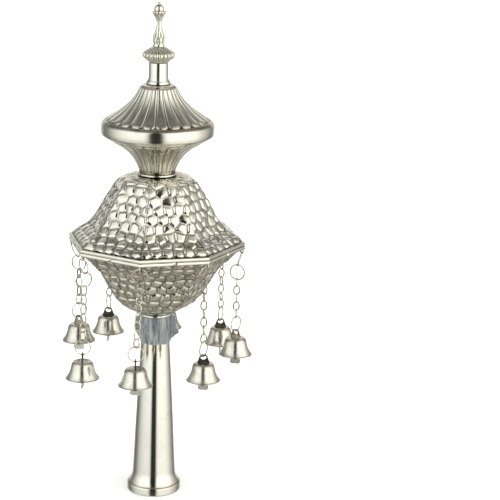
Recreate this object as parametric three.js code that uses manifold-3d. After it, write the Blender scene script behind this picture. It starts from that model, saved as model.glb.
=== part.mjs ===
// A Torah finial (rimon): a tapered sleeve that slips over a scroll's roller, a hammered eight-sided bowl and
// dome joined by a moulded rim, a fluted canopy with a turned neck, knop and spire, and eight small bells on
// chains under the rim's corners. Millimetres, +Z up, origin at the centre of the foot's underside.
import * as THREE from "three";
import { mergeVertices } from "three/addons/utils/BufferGeometryUtils.js";
import Module from "manifold-3d";

const wasm = await Module();
wasm.setup();

// ---------------------------------------------------------------- driving dimensions
const HEIGHT = 381; // foot to the tip of the spire, 15 inches
const GAP = 0.3; // between pieces that touch
const WALL = 1.2; // spun and pressed sheet, doubled where it is beaded

const FOOT_RADIUS = 20.7;
const FOOT_BORE_RADIUS = 17.6;
const SLEEVE_TOP = 141.9;
const SLEEVE_TOP_RADIUS = 10.3;
const SLEEVE_WALL = 0.9;
const SLEEVE_COLUMNS = 16;
const EAR_DIRECTION = 10; // the film's two gathered ears, in degrees from +X
const EAR_THICKNESS = 3;

const SIDES = 8; // the bowl, rim and dome are octagons with a corner on +X
const RIM_CORNER_RADIUS = 68;
const RIM_BOTTOM = 197.4;
const RIM_TOP = 203.2;
const BOWL_BOTTOM = 144.7;
const DOME_TOP = 252;

const CELL_PITCH = 8.4; // hammered honeycomb cells, across a row
const CELL_ROW = 7.5; // from one row of cells to the next
const CELL_RAISE = 0.7; // how far a cell's middle stands above its edges

const CANOPY_FLUTES = 24;
const CANOPY_BAND_RADIUS = 42.4;
const CANOPY_BAND_BOTTOM = 282.6;
const CANOPY_TOP = 320.4;
const NECK_RADIUS = 7.25;
const NECK_TOP = 336.3;
const KNOP_LOBES = 20;
const KNOP_RADIUS = 12.3;
const SPIRE_BOTTOM = 348.5;

const EYE_RADIUS = 65.6; // where the eyes under the rim's corners stand
const RING_RADIUS = 5.8; // large jump rings, to the middle of the wire
const LINK_WIDTH = 3.5; // curb links, between the middles of the wire's two sides
const CHAIN_WIRE = 0.5; // the wire's radius
const BELL_LIP_RADIUS = 12.8;
const BELL_HEIGHT = 13.3;
const BELL_WALL = 0.8;
const BELL_COLUMNS = 10;
const STRAP_HEIGHT = 6.6;
const STRAP_HOLE = 4.3; // the hole's middle above the bell's crown
const STRAP_THICKNESS = 1.2;
const CLAPPER_DROP = 8; // how far a clapper's tip hangs below the bell's lip

// The eight hanging sets, counter-clockwise from +X. Each was closed and hung by hand, so the lengths and the
// way that rings and clappers face differ: the lip's height, how far out the bell hangs, how far it drifts
// sideways, the number of links, and the directions of the lower ring, the strap and the clapper in degrees.
const HANGERS = [
  { lip: 114.5, reach: 62.3, drift: 0, links: 5, ring: 60, strap: -30, clapper: 0 },
  { lip: 108.0, reach: 62.5, drift: 0, links: 6, ring: 80, strap: 10, clapper: 90 },
  { lip: 112.4, reach: 61.5, drift: 2.5, links: 5, ring: 30, strap: 110, clapper: 0 },
  { lip: 112.4, reach: 61.5, drift: 3, links: 5, ring: -62, strap: 10, clapper: 90 },
  { lip: 117.6, reach: 60, drift: 0, links: 4, ring: 40, strap: -30, clapper: 0 },
  { lip: 102.3, reach: 64, drift: -3, links: 6, ring: 10, strap: 100, clapper: 90 },
  { lip: 105.9, reach: 61.5, drift: -3.5, links: 6, ring: 10, strap: 100, clapper: 0 },
  { lip: 107.0, reach: 61.5, drift: 1, links: 6, ring: 70, strap: 10, clapper: 0 },
];

// ---------------------------------------------------------------- materials
const nickel = { color: 0xc9c8bd, roughness: 0.28, metalness: 1 };
const hammeredNickel = { color: 0xbcbaae, roughness: 0.24, metalness: 1 };
const bellNickel = { color: 0xb9b6a8, roughness: 0.38, metalness: 1 };
const wire = { color: 0xc4bda6, roughness: 0.35, metalness: 1 };
const film = { color: 0xaab6b8, roughness: 0.25, metalness: 0 };

// ---------------------------------------------------------------- helpers
const radians = THREE.MathUtils.degToRad;

// A closed solid from vertices [x, y, z] and triangles of their numbers. Vertices that coincide are joined,
// and the faces are turned outwards.
function closedSolid(vertices, triangles) {
  const numbers = new Map();
  const points = [];
  const joined = vertices.map((vertex) => {
    const key = vertex.map((value) => Math.round(value * 1000)).join(" ");
    if (!numbers.has(key)) {
      numbers.set(key, points.length);
      points.push(vertex);
    }
    return numbers.get(key);
  });
  const faces = triangles
    .map((triangle) => triangle.map((number) => joined[number]))
    .filter(([a, b, c]) => a !== b && b !== c && c !== a);
  const volume = faces.reduce((sum, [a, b, c]) => sum + signedVolume(points[a], points[b], points[c]), 0);
  if (volume < 0) faces.forEach((face) => face.reverse());
  return new wasm.Manifold(
    new wasm.Mesh({
      numProp: 3,
      vertProperties: new Float32Array(points.flat()),
      triVerts: new Uint32Array(faces.flat()),
    }),
  );
}

function signedVolume([ax, ay, az], [bx, by, bz], [cx, cy, cz]) {
  return (ax * (by * cz - bz * cy) - ay * (bx * cz - bz * cx) + az * (bx * cy - by * cx)) / 6;
}

// A three.js geometry as a solid for booleans.
function solidOf(geometry) {
  const bare = geometry.clone();
  bare.deleteAttribute("normal");
  bare.deleteAttribute("uv");
  const merged = mergeVertices(bare, 1e-4);
  return new wasm.Manifold(
    new wasm.Mesh({
      numProp: 3,
      vertProperties: new Float32Array(merged.attributes.position.array),
      triVerts: new Uint32Array(merged.index.array),
    }),
  );
}

function geometryOf(solid) {
  const { vertProperties, triVerts } = solid.getMesh();
  const geometry = new THREE.BufferGeometry();
  geometry.setAttribute("position", new THREE.BufferAttribute(new Float32Array(vertProperties), 3));
  geometry.setIndex(new THREE.BufferAttribute(new Uint32Array(triVerts), 1));
  return geometry;
}

function fuse(solids) {
  return solids.reduce((whole, solid) => whole.add(solid));
}

// A turned solid. The profile is a list of [radius, height, wave]; it closes on itself, or starts and ends on
// the axis. Even columns stand out by the wave and odd ones lie back by it, which makes half as many lobes.
function turned(profile, columns) {
  const vertices = [];
  const triangles = [];
  for (let column = 0; column < columns; column++) {
    const angle = (2 * Math.PI * column) / columns;
    const side = column % 2 === 0 ? 1 : -1;
    for (const [radius, height, wave = 0] of profile) {
      const r = radius === 0 ? 0 : radius + side * wave;
      vertices.push([r * Math.cos(angle), r * Math.sin(angle), height]);
    }
  }
  const rows = profile.length;
  for (let column = 0; column < columns; column++) {
    const next = (column + 1) % columns;
    for (let row = 0; row < rows; row++) {
      const above = (row + 1) % rows;
      const a = column * rows + row;
      const b = next * rows + row;
      const c = next * rows + above;
      const d = column * rows + above;
      if (profile[row][0] === 0 && profile[above][0] === 0) continue;
      triangles.push([a, b, c], [a, c, d]);
    }
  }
  return closedSolid(vertices, triangles);
}

// A flat outline in the plane of a horizontal direction and +Z, given a thickness and moved into place. Both
// the outline and its hole run counter-clockwise.
function plate(outline, hole, thickness, turn, x, y, z) {
  const shape = new THREE.Shape(outline.map(([across, up]) => new THREE.Vector2(across, up)));
  if (hole) shape.holes.push(new THREE.Path(hole.map(([across, up]) => new THREE.Vector2(across, up))));
  const geometry = new THREE.ExtrudeGeometry(shape, { depth: thickness, bevelEnabled: false });
  geometry.translate(0, 0, -thickness / 2);
  geometry.rotateX(Math.PI / 2);
  geometry.rotateZ(radians(turn));
  geometry.translate(x, y, z);
  return solidOf(geometry);
}

// A string of wire loops that hang in one another, as one solid. Each loop is { halfWidth, pitch, runs }: half
// its width, the distance between its two joints, and the number of straight runs in each of its two strands.
// Neighbours stand at right angles. A joint is a small block in which two wires meet; place(across, aside, up)
// carries a point of the straight, untwisted string into the finished one.
function loopString(loops, wireRadius, place) {
  const vertices = [];
  const triangles = [];
  const addVertex = (across, aside, up, quarters) => {
    const [x, y] = quarters % 2 === 0 ? [across, aside] : [-aside, across];
    vertices.push(place(x, y, up));
    return vertices.length - 1;
  };
  const addQuad = (a, b, c, d) => triangles.push([a, b, c], [a, c, d]);

  // The corners of each joint's block, found by the signs of x, y and up.
  let height = 0;
  const joints = [];
  for (let number = 0; number <= loops.length; number++) {
    const single = number === 0 || number === loops.length;
    const rise = single ? wireRadius : 2 * wireRadius;
    const corner = (x, y, up) => joint.numbers[(x + 1) * 2 + (y + 1) + (up + 1) / 2];
    const joint = { height, wire: single ? 0 : wireRadius, corner, numbers: [] };
    for (const x of [-1, 1]) {
      for (const y of [-1, 1]) {
        for (const up of [-1, 1]) {
          joint.numbers.push(addVertex(x * wireRadius, y * wireRadius, height + up * rise, 0));
        }
      }
    }
    for (const up of [-1, 1]) {
      addQuad(corner(-1, -up, up), corner(1, -up, up), corner(1, up, up), corner(-1, up, up));
    }
    joints.push(joint);
    if (number < loops.length) height -= loops[number].pitch;
  }

  // The block's face towards one side of a loop: the corners on the loop's outside first.
  const face = (joint, quarters, side, outside) =>
    [
      [-1, outside],
      [1, outside],
      [1, -outside],
      [-1, -outside],
    ].map(([aside, up]) =>
      quarters % 2 === 0 ? joint.corner(side, side * aside, up) : joint.corner(-side * aside, side, up),
    );
  for (const [joint, quarters] of [[joints[0], 1], [joints[loops.length], loops.length]]) {
    for (const side of [-1, 1]) {
      const [a, b, c, d] = face(joint, quarters, side, -1);
      addQuad(a, b, c, d);
    }
  }
  loops.forEach((loop, quarters) => {
    const upper = joints[quarters].height + joints[quarters].wire;
    const lower = joints[quarters + 1].height - joints[quarters + 1].wire;
    const middle = (upper + lower) / 2;
    const halfHeight = (upper - lower) / 2;
    const widest = loop.runs % 2 === 0 ? 1 : Math.cos(Math.PI / 2 / loop.runs);
    for (const side of [-1, 1]) {
      const sections = [face(joints[quarters + 1], quarters, side, -1)];
      for (let bend = 1; bend < loop.runs; bend++) {
        const angle = (Math.PI * bend) / loop.runs - Math.PI / 2;
        const across = Math.cos(angle) / widest;
        const up = Math.sin(angle);
        const corners = [
          [1, -1],
          [1, 1],
          [-1, 1],
          [-1, -1],
        ].map(([out, aside]) =>
          addVertex(
            side * across * (loop.halfWidth + out * wireRadius),
            side * aside * wireRadius,
            middle + up * (halfHeight + out * wireRadius),
            quarters,
          ),
        );
        sections.push(corners);
      }
      sections.push(face(joints[quarters], quarters, side, 1));
      for (let run = 1; run < sections.length; run++) {
        const [below, above] = [sections[run - 1], sections[run]];
        below.forEach((_, k) => addQuad(below[k], below[(k + 1) % 4], above[(k + 1) % 4], above[k]));
      }
    }
  });
  return closedSolid(vertices, triangles);
}

// ---------------------------------------------------------------- hammered octagonal shells
// The radius, height and slope at a distance along a profile.
function profileCurve(profile) {
  const lengths = [0];
  for (let i = 1; i < profile.length; i++) {
    const run = Math.hypot(profile[i][0] - profile[i - 1][0], profile[i][1] - profile[i - 1][1]);
    lengths.push(lengths[i - 1] + run);
  }
  const total = lengths[lengths.length - 1];
  const at = (distance) => {
    let i = 1;
    while (i < profile.length - 1 && lengths[i] < distance) i++;
    const t = (distance - lengths[i - 1]) / (lengths[i] - lengths[i - 1]);
    const radius = THREE.MathUtils.lerp(profile[i - 1][0], profile[i][0], t);
    const height = THREE.MathUtils.lerp(profile[i - 1][1], profile[i][1], t);
    const slope = Math.atan2(profile[i][1] - profile[i - 1][1], profile[i][0] - profile[i - 1][0]);
    return { radius, height, slope };
  };
  return { total, at };
}

// An eight-sided form whose sides are covered with rows of raised six-sided cells, closed by flat ends. The
// profile runs along the corners from the rim inwards, [corner radius, height]; under roundRadius the octagon
// turns into a circle. Rows of cells are staggered, so that every second row has cells folded over the ridges.
// Past the last row the metal runs plain to the end, [radius, height].
function hammered(profile, roundRadius, end) {
  const curve = profileCurve(profile);
  const upright = Math.sign(profile[profile.length - 1][1] - profile[0][1]);
  const halfSide = Math.PI / SIDES;
  const vertices = [];
  const triangles = [];
  // turn counts sides round the axis: 0 is the corner on +X, 1 the next corner.
  const place = (turn, distance, raise) => {
    const { radius, height, slope } = curve.at(distance);
    const round = THREE.MathUtils.clamp((roundRadius - radius) / (roundRadius / 2), 0, 1);
    const apothem = radius * Math.cos(halfSide);
    const side = Math.floor(turn);
    const u = (turn - side - 0.5) * 2 * radius * Math.sin(halfSide);
    const angle = (side + 0.5) * 2 * halfSide + Math.atan2(u, apothem);
    const out = raise * Math.abs(Math.sin(slope));
    const reach = THREE.MathUtils.lerp(Math.hypot(u, apothem), radius, round) + out;
    const up = height + upright * raise * Math.abs(Math.cos(slope));
    vertices.push([reach * Math.cos(angle), reach * Math.sin(angle), up]);
    return vertices.length - 1;
  };

  const rowCount = Math.round(curve.total / CELL_ROW);
  const rowHeight = curve.total / rowCount;
  const rows = [];
  for (let row = 0; row < rowCount; row++) {
    const width = 2 * curve.at((row + 0.5) * rowHeight).radius * Math.sin(halfSide);
    const perSide = Math.max(1, Math.round(width / CELL_PITCH));
    const shift = row % 2 === 0 ? 0 : 0.5;
    const walls = Array.from({ length: perSide * SIDES }, (_, i) => (i + shift) / perSide);
    rows.push({ perSide, walls });
  }
  // Each line between two rows zigzags: it dips at the walls below it and rises at the walls above it.
  const lines = [];
  for (let line = 0; line <= rowCount; line++) {
    const below = line > 0 ? rows[line - 1].walls : [];
    const above = line < rowCount ? rows[line].walls : [];
    const zigzag = line > 0 && line < rowCount ? rowHeight / 6 : 0;
    const knots = below.map((turn) => ({ turn, offset: -zigzag }));
    above.forEach((turn) => {
      const shared = knots.find((knot) => Math.abs(knot.turn - turn) < 1e-6);
      if (shared) shared.offset = 0;
      else knots.push({ turn, offset: zigzag });
    });
    knots.sort((a, b) => a.turn - b.turn);
    knots.forEach((knot) => (knot.vertex = place(knot.turn, line * rowHeight + knot.offset, 0)));
    lines.push(knots);
  }
  const between = (knots, from, to) => {
    const unwrapped = [...knots, ...knots.map((knot) => ({ ...knot, turn: knot.turn + SIDES }))];
    return unwrapped
      .filter((knot) => knot.turn > from - 1e-6 && knot.turn < to + 1e-6)
      .map((knot) => knot.vertex);
  };
  rows.forEach(({ perSide, walls }, row) => {
    walls.forEach((from) => {
      const to = from + 1 / perSide;
      const outline = [...between(lines[row], from, to), ...between(lines[row + 1], from, to).reverse()];
      const centre = place((from + to) / 2, (row + 0.5) * rowHeight, CELL_RAISE);
      outline.forEach((vertex, i) => triangles.push([vertex, outline[(i + 1) % outline.length], centre]));
    });
  });
  const rim = lines[0].map((knot) => knot.vertex);
  const inner = lines[rowCount].map((knot) => knot.vertex);
  const last = inner.map((vertex) => {
    const angle = Math.atan2(vertices[vertex][1], vertices[vertex][0]);
    return vertices.push([end[0] * Math.cos(angle), end[0] * Math.sin(angle), end[1]]) - 1;
  });
  const rimHub = vertices.push([0, 0, profile[0][1]]) - 1;
  const endHub = vertices.push([0, 0, end[1]]) - 1;
  rim.forEach((vertex, i) => triangles.push([rim[(i + 1) % rim.length], vertex, rimHub]));
  inner.forEach((vertex, i) => {
    const next = (i + 1) % inner.length;
    triangles.push([vertex, inner[next], last[next]], [vertex, last[next], last[i]]);
    triangles.push([last[i], last[next], endHub]);
  });
  return closedSolid(vertices, triangles);
}

// ---------------------------------------------------------------- the standing pieces
function sleeve() {
  return turned(
    [
      [FOOT_RADIUS, 0],
      [FOOT_RADIUS, 5.2],
      [18.4, 8.3],
      [16.9, 11.4],
      [16.3, 18],
      [14.65, 55],
      [11.1, 120],
      [SLEEVE_TOP_RADIUS, SLEEVE_TOP],
      [SLEEVE_TOP_RADIUS - SLEEVE_WALL, SLEEVE_TOP],
      [14.65 - SLEEVE_WALL, 55],
      [15.3, 17],
      [FOOT_BORE_RADIUS, 6],
      [FOOT_BORE_RADIUS, 0],
    ],
    SLEEVE_COLUMNS,
  );
}

// Thin clear film wound round the sleeve's top, gathered into a crumpled ear on either side.
function filmWrap() {
  const band = turned(
    [
      [11.45, 120.9],
      [12, 121],
      [12.2, 129],
      [11.25, 141.6],
      [10.7, 141.6],
    ],
    SLEEVE_COLUMNS,
  );
  const farEar = [
    [11, 141.2],
    [14.6, 141.7],
    [16.3, 139],
    [16.3, 133],
    [18.6, 127.8],
    [13.6, 123.6],
    [11.7, 122],
  ].reverse();
  const nearEar = [
    [-11.7, 122.5],
    [-14.2, 126.5],
    [-16, 132.5],
    [-15.9, 139],
    [-14.2, 141.4],
    [-11, 141.2],
  ].reverse();
  return fuse([
    band,
    plate(farEar, null, EAR_THICKNESS, EAR_DIRECTION, 0, 0, 0),
    plate(nearEar, null, EAR_THICKNESS, EAR_DIRECTION, 0, 0, 0),
  ]);
}

function bowlRing() {
  return turned(
    [
      [9.6, SLEEVE_TOP + GAP],
      [12.1, SLEEVE_TOP + GAP],
      [12.8, 143.3],
      [12.1, BOWL_BOTTOM - GAP],
      [9.6, BOWL_BOTTOM - GAP],
    ],
    16,
  );
}

function bowl() {
  const outer = hammered(
    [
      [63.2, RIM_BOTTOM - GAP],
      [49.6, 183.4],
      [45, 177],
      [40.5, 169.5],
      [34, 159],
      [28.3, 153.6],
      [20.4, 148.2],
    ],
    24,
    [12.4, BOWL_BOTTOM],
  );
  const inner = turned(
    [
      [0, BOWL_BOTTOM + WALL],
      [12, BOWL_BOTTOM + WALL],
      [27, 154.8],
      [38.7, 169.8],
      [48, 184],
      [62, RIM_BOTTOM + 0.5],
      [0, RIM_BOTTOM + 0.5],
    ],
    SIDES,
  );
  return outer.subtract(inner);
}

// Two beads with a groove between them, mitred at the corners, and an eye under each corner for its chain.
function rimBand() {
  const band = turned(
    [
      [61, RIM_BOTTOM],
      [67, RIM_BOTTOM],
      [RIM_CORNER_RADIUS, 199],
      [67.4, 200],
      [66.9, 200.5],
      [67.6, 201.6],
      [66.4, RIM_TOP],
      [61, RIM_TOP],
    ],
    SIDES,
  );
  const outline = [
    [-1.5, -3.3],
    [1.5, -3.3],
    [2, 0.4],
    [-2, 0.4],
  ];
  const hole = [
    [-1.1, -2.3],
    [1.1, -2.3],
    [0, -0.1],
  ];
  const eyes = HANGERS.map((_, corner) => {
    const turn = (corner * 360) / SIDES;
    const x = EYE_RADIUS * Math.cos(radians(turn));
    const y = EYE_RADIUS * Math.sin(radians(turn));
    return plate(outline, hole, 1.2, turn, x, y, RIM_BOTTOM);
  });
  return fuse([band, ...eyes]);
}

function dome() {
  const outer = hammered(
    [
      [65.4, RIM_TOP + GAP],
      [57, 209.4],
      [48.4, 217.2],
      [42.6, 227.4],
      [36.8, 237],
      [31, 245.8],
      [27.4, 248.7],
    ],
    34,
    [14.4, DOME_TOP],
  );
  const inner = turned(
    [
      [0, RIM_TOP - 0.5],
      [64.4, RIM_TOP - 0.5],
      [47, 216],
      [40.9, 227.2],
      [29, 244.6],
      [13, DOME_TOP - WALL],
      [0, DOME_TOP - WALL],
    ],
    SIDES,
  );
  return outer.subtract(inner);
}

function domeRing() {
  return turned(
    [
      [8, DOME_TOP + GAP],
      [14.3, DOME_TOP + GAP],
      [15.1, 253.2],
      [14.3, 254],
      [8, 254],
    ],
    16,
  );
}

// The lower half of the canopy, a fluted trumpet that opens upwards.
function canopyFlare() {
  const bottom = 254 + GAP;
  const top = CANOPY_BAND_BOTTOM - GAP;
  const outer = turned(
    [
      [0, bottom],
      [13.8, bottom],
      [15.4, 260, 0.4],
      [21.5, 268.6, 0.6],
      [32, 276.7, 0.7],
      [40.4, top],
      [0, top],
    ],
    2 * CANOPY_FLUTES,
  );
  const inner = turned(
    [
      [0, bottom - 1],
      [12, bottom - 1],
      [12.2, 256.5],
      [13.4, 261.4],
      [19.2, 269.6],
      [29, 277],
      [39, top + 0.5],
      [0, top + 0.5],
    ],
    16,
  );
  return outer.subtract(inner);
}

// The fluted roof and its plain band, one sheet.
function canopyRoof() {
  const outer = turned(
    [
      [0, CANOPY_TOP],
      [11.4, CANOPY_TOP],
      [14.4, 317, 0.35],
      [19, 309.4, 0.5],
      [27.8, 301.2, 0.7],
      [38.2, 294.4, 0.7],
      [CANOPY_BAND_RADIUS, 289.8],
      [CANOPY_BAND_RADIUS - 0.2, CANOPY_BAND_BOTTOM],
      [0, CANOPY_BAND_BOTTOM],
    ],
    2 * CANOPY_FLUTES,
  );
  const inner = turned(
    [
      [0, CANOPY_BAND_BOTTOM - 1],
      [40.6, CANOPY_BAND_BOTTOM - 1],
      [40.6, 289],
      [36, 294],
      [25.6, 301],
      [16.8, 309.6],
      [12.2, 316.8],
      [0, CANOPY_TOP - 2 * WALL],
    ],
    16,
  );
  return outer.subtract(inner);
}

function neck() {
  const bottom = CANOPY_TOP + GAP;
  return turned(
    [
      [6, bottom],
      [9.1, bottom],
      [8.8, 322.2],
      [NECK_RADIUS + 0.1, 325],
      [NECK_RADIUS, NECK_TOP],
      [6, NECK_TOP],
    ],
    14,
  );
}

function knop() {
  return turned(
    [
      [0, NECK_TOP + GAP],
      [7.2, NECK_TOP + GAP],
      [KNOP_RADIUS - 0.7, 341, 0.45],
      [KNOP_RADIUS - 0.9, 343.5, 0.45],
      [4.8, SPIRE_BOTTOM - GAP],
      [0, SPIRE_BOTTOM - GAP],
    ],
    2 * KNOP_LOBES,
  );
}

// A cast spire: a leafed spindle, a slender stem, a leafed cup and a bead on its ball.
function spire() {
  return turned(
    [
      [0, SPIRE_BOTTOM],
      [4.4, SPIRE_BOTTOM],
      [3.8, 350],
      [4.3, 353, 0.25],
      [3.9, 354.3],
      [4.5, 355.9, 0.25],
      [3.2, 358.8, 0.2],
      [1.95, 363.2],
      [1.95, 367.4],
      [5, 373.4, 0.3],
      [3.6, 375.6],
      [3, 377.9],
      [1, 379],
      [1.2, 380.2],
      [0, HEIGHT],
    ],
    8,
  );
}

// ---------------------------------------------------------------- the hanging sets
// Where a set hangs: its corner's direction, the middle of the first ring's upper wire, the middle of the lower
// ring's lower wire, and the bell's crown.
function hangerPlace(hanger, corner) {
  const direction = (corner * 360) / SIDES;
  const crown = hanger.lip + BELL_HEIGHT;
  const top = RIM_BOTTOM - 2.3 + GAP + CHAIN_WIRE;
  const bottom = crown + STRAP_HOLE + 1.5 - GAP - CHAIN_WIRE;
  const at = (reach, drift) => [
    reach * Math.cos(radians(direction)) - drift * Math.sin(radians(direction)),
    reach * Math.sin(radians(direction)) + drift * Math.cos(radians(direction)),
  ];
  return { direction, crown, top, bottom, at };
}

// Two large rings, the curb chain and the lower ring, one string whose links touch. The first ring leans inwards
// from its eye, and the curb links turn the string round to the lower ring.
function chain(hanger, corner) {
  const { direction, top, bottom, at } = hangerPlace(hanger, corner);
  const length = top - bottom;
  const ring = { halfWidth: RING_RADIUS, pitch: 2 * RING_RADIUS - CHAIN_WIRE, runs: 4 };
  const middleRing = { ...ring, pitch: ring.pitch - CHAIN_WIRE };
  const linkLength = (length - 2 * ring.pitch - middleRing.pitch) / hanger.links;
  const link = { halfWidth: LINK_WIDTH / 2, pitch: linkLength, runs: 3 };
  const loops = [ring, middleRing, ...Array(hanger.links).fill(link), ring];
  const untwisted = direction + 90 * loops.length;
  const twist = THREE.MathUtils.euclideanModulo(hanger.ring - untwisted + 90, 180) - 90;
  const twistTop = ring.pitch + middleRing.pitch;
  const place = (across, aside, up) => {
    const lean = THREE.MathUtils.clamp(-up / ring.pitch, 0, 1);
    const twisted = THREE.MathUtils.clamp((-up - twistTop) / (length - twistTop - ring.pitch), 0, 1);
    const [x, y] = at(THREE.MathUtils.lerp(EYE_RADIUS, hanger.reach, lean), (-up / length) * hanger.drift);
    const turn = radians(direction + 90 + twist * twisted);
    return [
      x + across * Math.cos(turn) - aside * Math.sin(turn),
      y + across * Math.sin(turn) + aside * Math.cos(turn),
      top + up,
    ];
  };
  return loopString(loops, CHAIN_WIRE, place);
}

function bell(hanger, corner) {
  const { crown, at } = hangerPlace(hanger, corner);
  const lip = hanger.lip;
  const [x, y] = at(hanger.reach, hanger.drift);
  const shell = turned(
    [
      [BELL_LIP_RADIUS, lip],
      [10, lip + 3.9],
      [8.5, lip + 9.6],
      [6.3, crown],
      [0, crown],
      [0, crown - BELL_WALL],
      [5.8, crown - BELL_WALL],
      [7.8, lip + 6.5],
      [BELL_LIP_RADIUS - BELL_WALL, lip],
    ],
    BELL_COLUMNS,
  ).translate([x, y, 0]);
  const outline = [
    [5, -0.3],
    [3, STRAP_HOLE + 1],
    [2.3, STRAP_HEIGHT],
    [-2.3, STRAP_HEIGHT],
    [-3, STRAP_HOLE + 1],
    [-5, -0.3],
  ];
  const hole = [
    [2.2, STRAP_HOLE - 1.5],
    [1.9, STRAP_HOLE + 0.5],
    [1.3, STRAP_HOLE + 1.5],
    [-1.3, STRAP_HOLE + 1.5],
    [-1.9, STRAP_HOLE + 0.5],
    [-2.2, STRAP_HOLE - 1.5],
  ];
  return shell.add(plate(outline, hole, STRAP_THICKNESS, hanger.strap, x, y, crown));
}

// A flat tongue that hangs from the middle of the crown.
function clapper(hanger, corner) {
  const { crown, at } = hangerPlace(hanger, corner);
  const tip = hanger.lip - CLAPPER_DROP;
  const top = crown - BELL_WALL - GAP;
  const outline = [
    [-0.6, top],
    [-4.2, tip + 1.6],
    [-3.2, tip],
    [3.2, tip],
    [4.2, tip + 1.6],
    [0.6, top],
  ];
  return plate(outline, null, 0.9, hanger.clapper, ...at(hanger.reach, hanger.drift), 0);
}

// ---------------------------------------------------------------- the scene graph
const finial = new THREE.Group();

function addPiece(name, solid, material) {
  const mesh = new THREE.Mesh(geometryOf(solid), new THREE.MeshStandardMaterial(material));
  mesh.name = name;
  finial.add(mesh);
}

addPiece("sleeve", sleeve(), nickel);
addPiece("film_wrap", filmWrap(), film);
addPiece("bowl_ring", bowlRing(), nickel);
addPiece("bowl", bowl(), hammeredNickel);
addPiece("rim_band", rimBand(), nickel);
addPiece("dome", dome(), hammeredNickel);
addPiece("dome_ring", domeRing(), nickel);
addPiece("canopy_flare", canopyFlare(), nickel);
addPiece("canopy_roof", canopyRoof(), nickel);
addPiece("neck", neck(), nickel);
addPiece("knop", knop(), nickel);
addPiece("spire", spire(), nickel);
HANGERS.forEach((hanger, corner) => {
  addPiece(`chain_${corner + 1}`, chain(hanger, corner), wire);
  addPiece(`bell_${corner + 1}`, bell(hanger, corner), bellNickel);
  addPiece(`clapper_${corner + 1}`, clapper(hanger, corner), bellNickel);
});

export default finial;
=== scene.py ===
import math

import bpy
import numpy as np
from mathutils import Matrix, Vector


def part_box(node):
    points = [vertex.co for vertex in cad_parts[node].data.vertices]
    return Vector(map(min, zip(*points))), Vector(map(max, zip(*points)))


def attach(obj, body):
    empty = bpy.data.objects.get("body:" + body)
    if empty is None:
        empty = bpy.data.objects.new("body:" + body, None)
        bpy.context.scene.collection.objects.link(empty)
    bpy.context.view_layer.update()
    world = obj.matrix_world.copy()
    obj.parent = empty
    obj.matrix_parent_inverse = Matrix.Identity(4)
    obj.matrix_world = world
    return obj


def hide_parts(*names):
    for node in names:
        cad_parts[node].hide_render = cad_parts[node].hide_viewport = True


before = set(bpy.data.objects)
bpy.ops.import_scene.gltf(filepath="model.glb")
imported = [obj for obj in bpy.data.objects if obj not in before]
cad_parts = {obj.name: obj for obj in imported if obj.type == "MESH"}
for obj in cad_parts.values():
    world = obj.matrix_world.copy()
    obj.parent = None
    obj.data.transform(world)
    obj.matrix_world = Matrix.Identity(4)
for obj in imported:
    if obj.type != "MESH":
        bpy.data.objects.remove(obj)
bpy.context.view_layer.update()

MM = 0.001
SIDES = 8
HALF_SIDE = math.pi / SIDES
CORNER_STEP = 360 / SIDES
CANOPY_FLUTES = 24
KNOP_LOBES = 20
EYE_RADIUS = 65.6
WIRE = 0.5
RING_RADIUS = 5.8
LINK_HALF_WIDTH = 2.3
LINK_WIRE = 0.6
STRAP_HOLE = 4.3
BELL_HEIGHT = 13.3
VIEW_AZIMUTH = 10.24  # the camera's direction round the object, in degrees

rng = np.random.default_rng(7)


def cad_box(node):
    """A node's lowest and highest corner in millimetres."""
    low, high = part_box(node)
    return np.array(low) / MM, np.array(high) / MM


def smoothstep(low, high, value):
    t = np.clip((value - low) / (high - low), 0, 1)
    return t * t * (3 - 2 * t)


# ---------------------------------------------------------------- curves and profiles
def smooth(points, steps=6):
    """A smooth curve through points, with this many steps between neighbours."""
    p = np.array(points, float)
    padded = np.vstack([2 * p[0] - p[1], p, 2 * p[-1] - p[-2]])
    out = []
    for a, b, c, d in zip(padded, padded[1:], padded[2:], padded[3:]):
        for t in np.arange(steps) / steps:
            linear = -a + c
            square = 2 * a - 5 * b + 4 * c - d
            cube = -a + 3 * b - 3 * c + d
            out.append(0.5 * (2 * b + linear * t + square * t**2 + cube * t**3))
    out.append(p[-1])
    return np.array(out)


def resample(points, spacing):
    """Evenly spaced points along a curve."""
    p = np.array(points, float)
    lengths = np.concatenate([[0], np.cumsum(np.linalg.norm(np.diff(p, axis=0), axis=1))])
    count = max(2, int(round(lengths[-1] / spacing)) + 1)
    at = np.linspace(0, lengths[-1], count)
    return np.column_stack([np.interp(at, lengths, p[:, k]) for k in range(p.shape[1])])


def along(points):
    """The distance of each point from the first one."""
    return np.concatenate([[0], np.cumsum(np.linalg.norm(np.diff(points, axis=0), axis=1))])


def outward(points, closed=False):
    """Unit normals of a profile that runs with the material on its left."""
    tangent = np.gradient(points, axis=0)
    length = np.maximum(np.linalg.norm(tangent, axis=1), 1e-9)
    return np.column_stack([tangent[:, 1], -tangent[:, 0]]) / length[:, None]


# ---------------------------------------------------------------- meshes
def grid_faces(rows, columns, close_rows, first=0):
    """Quads of a grid that is closed round its columns, and round its rows where asked."""
    r = np.arange(rows if close_rows else rows - 1)
    c = np.arange(columns)
    rr, cc = np.meshgrid(r, c, indexing="ij")
    up = (rr + 1) % rows
    side = (cc + 1) % columns
    quads = np.stack([rr * columns + cc, rr * columns + side, up * columns + side, up * columns + cc], axis=-1)
    return (quads.reshape(-1, 4) + first).tolist()


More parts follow.
